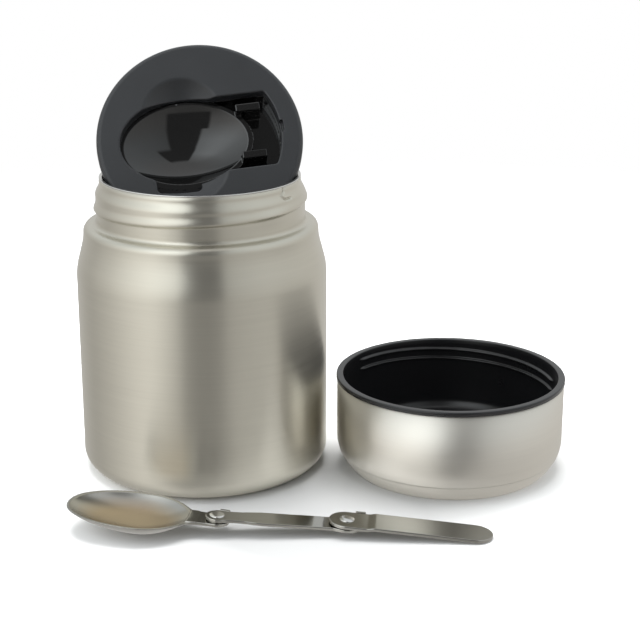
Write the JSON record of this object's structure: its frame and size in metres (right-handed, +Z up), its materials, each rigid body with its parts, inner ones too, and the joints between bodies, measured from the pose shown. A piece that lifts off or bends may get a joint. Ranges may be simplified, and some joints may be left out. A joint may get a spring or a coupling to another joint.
{
  "type": "insulated food jar",
  "caption": "Double-walled steel food jar with a plug stopper that stows a folding spoon, and a screw-on cup lined in black plastic.",
  "frame": {"origin": "centre of the jar's flat base, on the table and on the jar's axis", "axes": "+Z up along the jar's axis, +X from the jar towards the standing cup, along the unfolded spoon, -Y towards the spoon"},
  "size_m": [0.1888, 0.133, 0.1605],
  "materials": {
    "brushed_steel": "brushed round the jar's axis",
    "liner_steel": "satin, electropolished",
    "cup_steel": "fine brushed, nearly polished",
    "base_steel": "pressed sheet, satin",
    "foil": "bright foil",
    "getter_metal": "sintered",
    "sealing_glass": "fused bead",
    "satin_black": "satin moulded",
    "gloss_black": "high gloss moulded",
    "liner_black": "smooth satin moulded",
    "foam": "expanded foam",
    "silicone": "matt silicone",
    "spoon_steel": "satin",
    "rivet_steel": "polished"
  },
  "bodies": {
    "jar": {"outer_shell": "brushed_steel", "inner_liner": "liner_steel", "heat_foil": "foil", "getter": "getter_metal", "outer_bottom": "base_steel", "seal_bead": "sealing_glass", "base_cover": "base_steel"},
    "stopper": {"stopper_cover": "satin_black", "spoon_tray": "gloss_black", "stopper_plug": "satin_black", "stopper_foam": "foam", "stopper_gasket": "silicone"},
    "cup": {"cup_sleeve": "cup_steel", "cup_liner": "liner_black", "cup_foam": "foam"},
    "bowl": {"spoon_bowl": "spoon_steel", "washer_inner": "spoon_steel", "rivet_inner": "rivet_steel"},
    "link": {"spoon_link": "spoon_steel", "washer_outer": "spoon_steel", "rivet_outer": "rivet_steel"},
    "grip": {"spoon_grip": "spoon_steel"}
  },
  "joints": [
    {"name": "stopper_lift", "type": "slide", "parent": "jar", "child": "stopper", "axis": [0, 0, 1], "range_m": [0, 0.06]},
    {"name": "cup_lift", "type": "slide", "parent": "jar", "child": "cup", "axis": [0, 0, 1], "range_m": [0, 0.14]},
    {"name": "spoon_lift", "type": "slide", "parent": "jar", "child": "bowl", "axis": [0, 0, 1], "range_m": [0, 0.1]},
    {"name": "link_fold", "type": "hinge", "parent": "bowl", "child": "link", "pos_m": [0.0087, -0.0729, 0.00429], "axis": [0.0807, 0, 0.9967], "range_deg": [-189.1, 0]},
    {"name": "grip_fold", "type": "hinge", "parent": "link", "child": "grip", "pos_m": [0.05474, -0.07185, 0.00057], "axis": [0.0807, 0, 0.9967], "range_deg": [-173.4, 8]}
  ]
}
